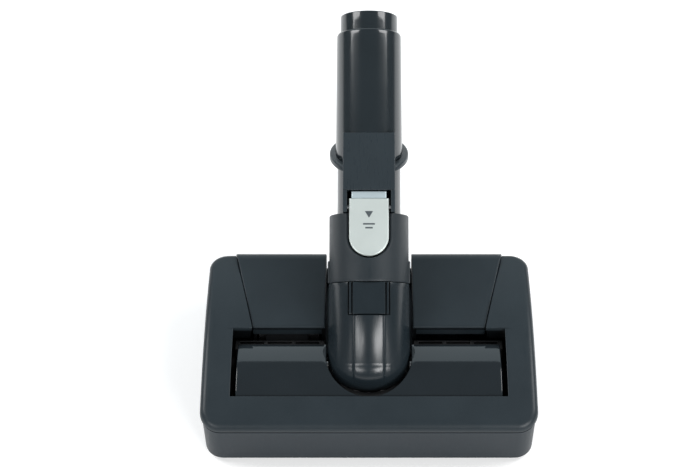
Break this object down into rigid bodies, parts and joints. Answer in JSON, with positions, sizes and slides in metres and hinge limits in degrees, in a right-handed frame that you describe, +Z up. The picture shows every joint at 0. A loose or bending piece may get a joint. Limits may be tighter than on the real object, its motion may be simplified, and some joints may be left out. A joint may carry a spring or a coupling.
{
  "type": "vacuum turbo brush head",
  "caption": "Floor cleaning head for a vacuum cleaner with a belt-driven turbine brush, a tilting and swivelling neck and a wand socket with a lock lever.",
  "frame": {"origin": "on the floor, under the middle of the whole part's bounding box", "axes": "+X across the head, +Y from the head's front edge towards the wand, +Z up from the floor"},
  "size_m": [0.26, 0.3072, 0.2164],
  "materials": {
    "charcoal_plastic": "satin, fine grain",
    "dark_gloss_plastic": "polished",
    "black_plastic": "moulded, unpolished",
    "black_rubber": "matt",
    "lint_fabric": "short directional nap",
    "bristle": "cut nylon tufts",
    "silver_paint": "silver lacquer, satin",
    "steel": "ground"
  },
  "bodies": {
    "head": {"base_shell": "charcoal_plastic", "sole_plate": "black_plastic", "top_cover": "charcoal_plastic", "rear_deck": "charcoal_plastic", "brush_window": "dark_gloss_plastic", "nose_shroud": "black_plastic", "air_inlet_grille": "black_plastic", "turbine_housing": "black_plastic", "turbine_end_plate": "black_plastic", "suction_duct": "black_plastic", "elbow_seal": "black_rubber", "belt_guard": "black_plastic", "drive_belt": "black_rubber", "brush_bearing_left": "black_plastic", "brush_bearing_right": "black_plastic", "pivot_block_left": "black_plastic", "pivot_block_right": "black_plastic", "lint_strip_left": "lint_fabric", "lint_strip_right": "lint_fabric", "wheel_pin_left": "steel", "wheel_pin_right": "steel", "roller_pin_left": "steel", "roller_pin_right": "steel", "rotor_bearing_left": "steel", "rotor_bearing_right": "steel", "cover_screw_1": "steel", "cover_screw_2": "steel", "cover_screw_3": "steel", "cover_screw_4": "steel"},
    "brush": {"brush_core": "charcoal_plastic", "brush_axle": "steel", "brush_pulley": "black_plastic", "bristle_row_1": "bristle", "bristle_row_2": "bristle", "bristle_row_3": "bristle", "bristle_row_4": "bristle"},
    "rotor": {"turbine_rotor": "black_plastic", "turbine_shaft": "steel", "drive_pulley": "steel"},
    "elbow": {"elbow_shell": "charcoal_plastic", "swivel_catch": "charcoal_plastic", "swivel_bush": "black_plastic", "trunnion_pin_left": "steel", "trunnion_pin_right": "steel"},
    "wand_holder": {"swivel_sleeve": "charcoal_plastic", "wand_tube": "dark_gloss_plastic", "tube_collar": "charcoal_plastic", "latch_housing": "charcoal_plastic", "lever_pin": "steel", "lever_spring": "steel"},
    "lever": {"lock_lever": "silver_paint"},
    "rear_wheel_left": {"wheel_left": "black_rubber"},
    "rear_wheel_right": {"wheel_right": "black_rubber"},
    "front_roller_left": {"roller_left": "black_rubber"},
    "front_roller_right": {"roller_right": "black_rubber"}
  },
  "joints": [
    {"name": "neck_tilt", "type": "hinge", "parent": "head", "child": "elbow", "pos_m": [0, -0.09356, 0.0476], "axis": [1, 0, 0], "range_deg": [-18, 50]},
    {"name": "neck_swivel", "type": "hinge", "parent": "elbow", "child": "wand_holder", "pos_m": [0, -0.04001, 0.08172], "axis": [0, 0.8434, 0.5373], "range_deg": [-90, 90]},
    {"name": "lock_lever_press", "type": "hinge", "parent": "wand_holder", "child": "lever", "pos_m": [0, -0.00367, 0.13356], "axis": [1, 0, 0], "range_deg": [0, 7], "stiffness_Nm_per_rad": 0.4, "springref_deg": -5.73},
    {"name": "brush_spin", "type": "hinge", "parent": "head", "child": "brush", "pos_m": [0, -0.12806, 0.0198], "axis": [1, 0, 0], "continuous": true},
    {"name": "rotor_spin", "type": "hinge", "parent": "head", "child": "rotor", "pos_m": [0, -0.04056, 0.0315], "axis": [1, 0, 0], "continuous": true},
    {"name": "wheel_left_roll", "type": "hinge", "parent": "head", "child": "rear_wheel_left", "pos_m": [-0.108, -0.01556, 0.015], "axis": [1, 0, 0], "continuous": true},
    {"name": "wheel_right_roll", "type": "hinge", "parent": "head", "child": "rear_wheel_right", "pos_m": [0.108, -0.01556, 0.015], "axis": [1, 0, 0], "continuous": true},
    {"name": "roller_left_roll", "type": "hinge", "parent": "head", "child": "front_roller_left", "pos_m": [-0.07, -0.08456, 0.0095], "axis": [1, 0, 0], "continuous": true},
    {"name": "roller_right_roll", "type": "hinge", "parent": "head", "child": "front_roller_right", "pos_m": [0.07, -0.08456, 0.0095], "axis": [1, 0, 0], "continuous": true}
  ],
  "couplings": [
    {"joint": "rotor_spin", "follows": "brush_spin", "ratio": 2.1667}
  ]
}
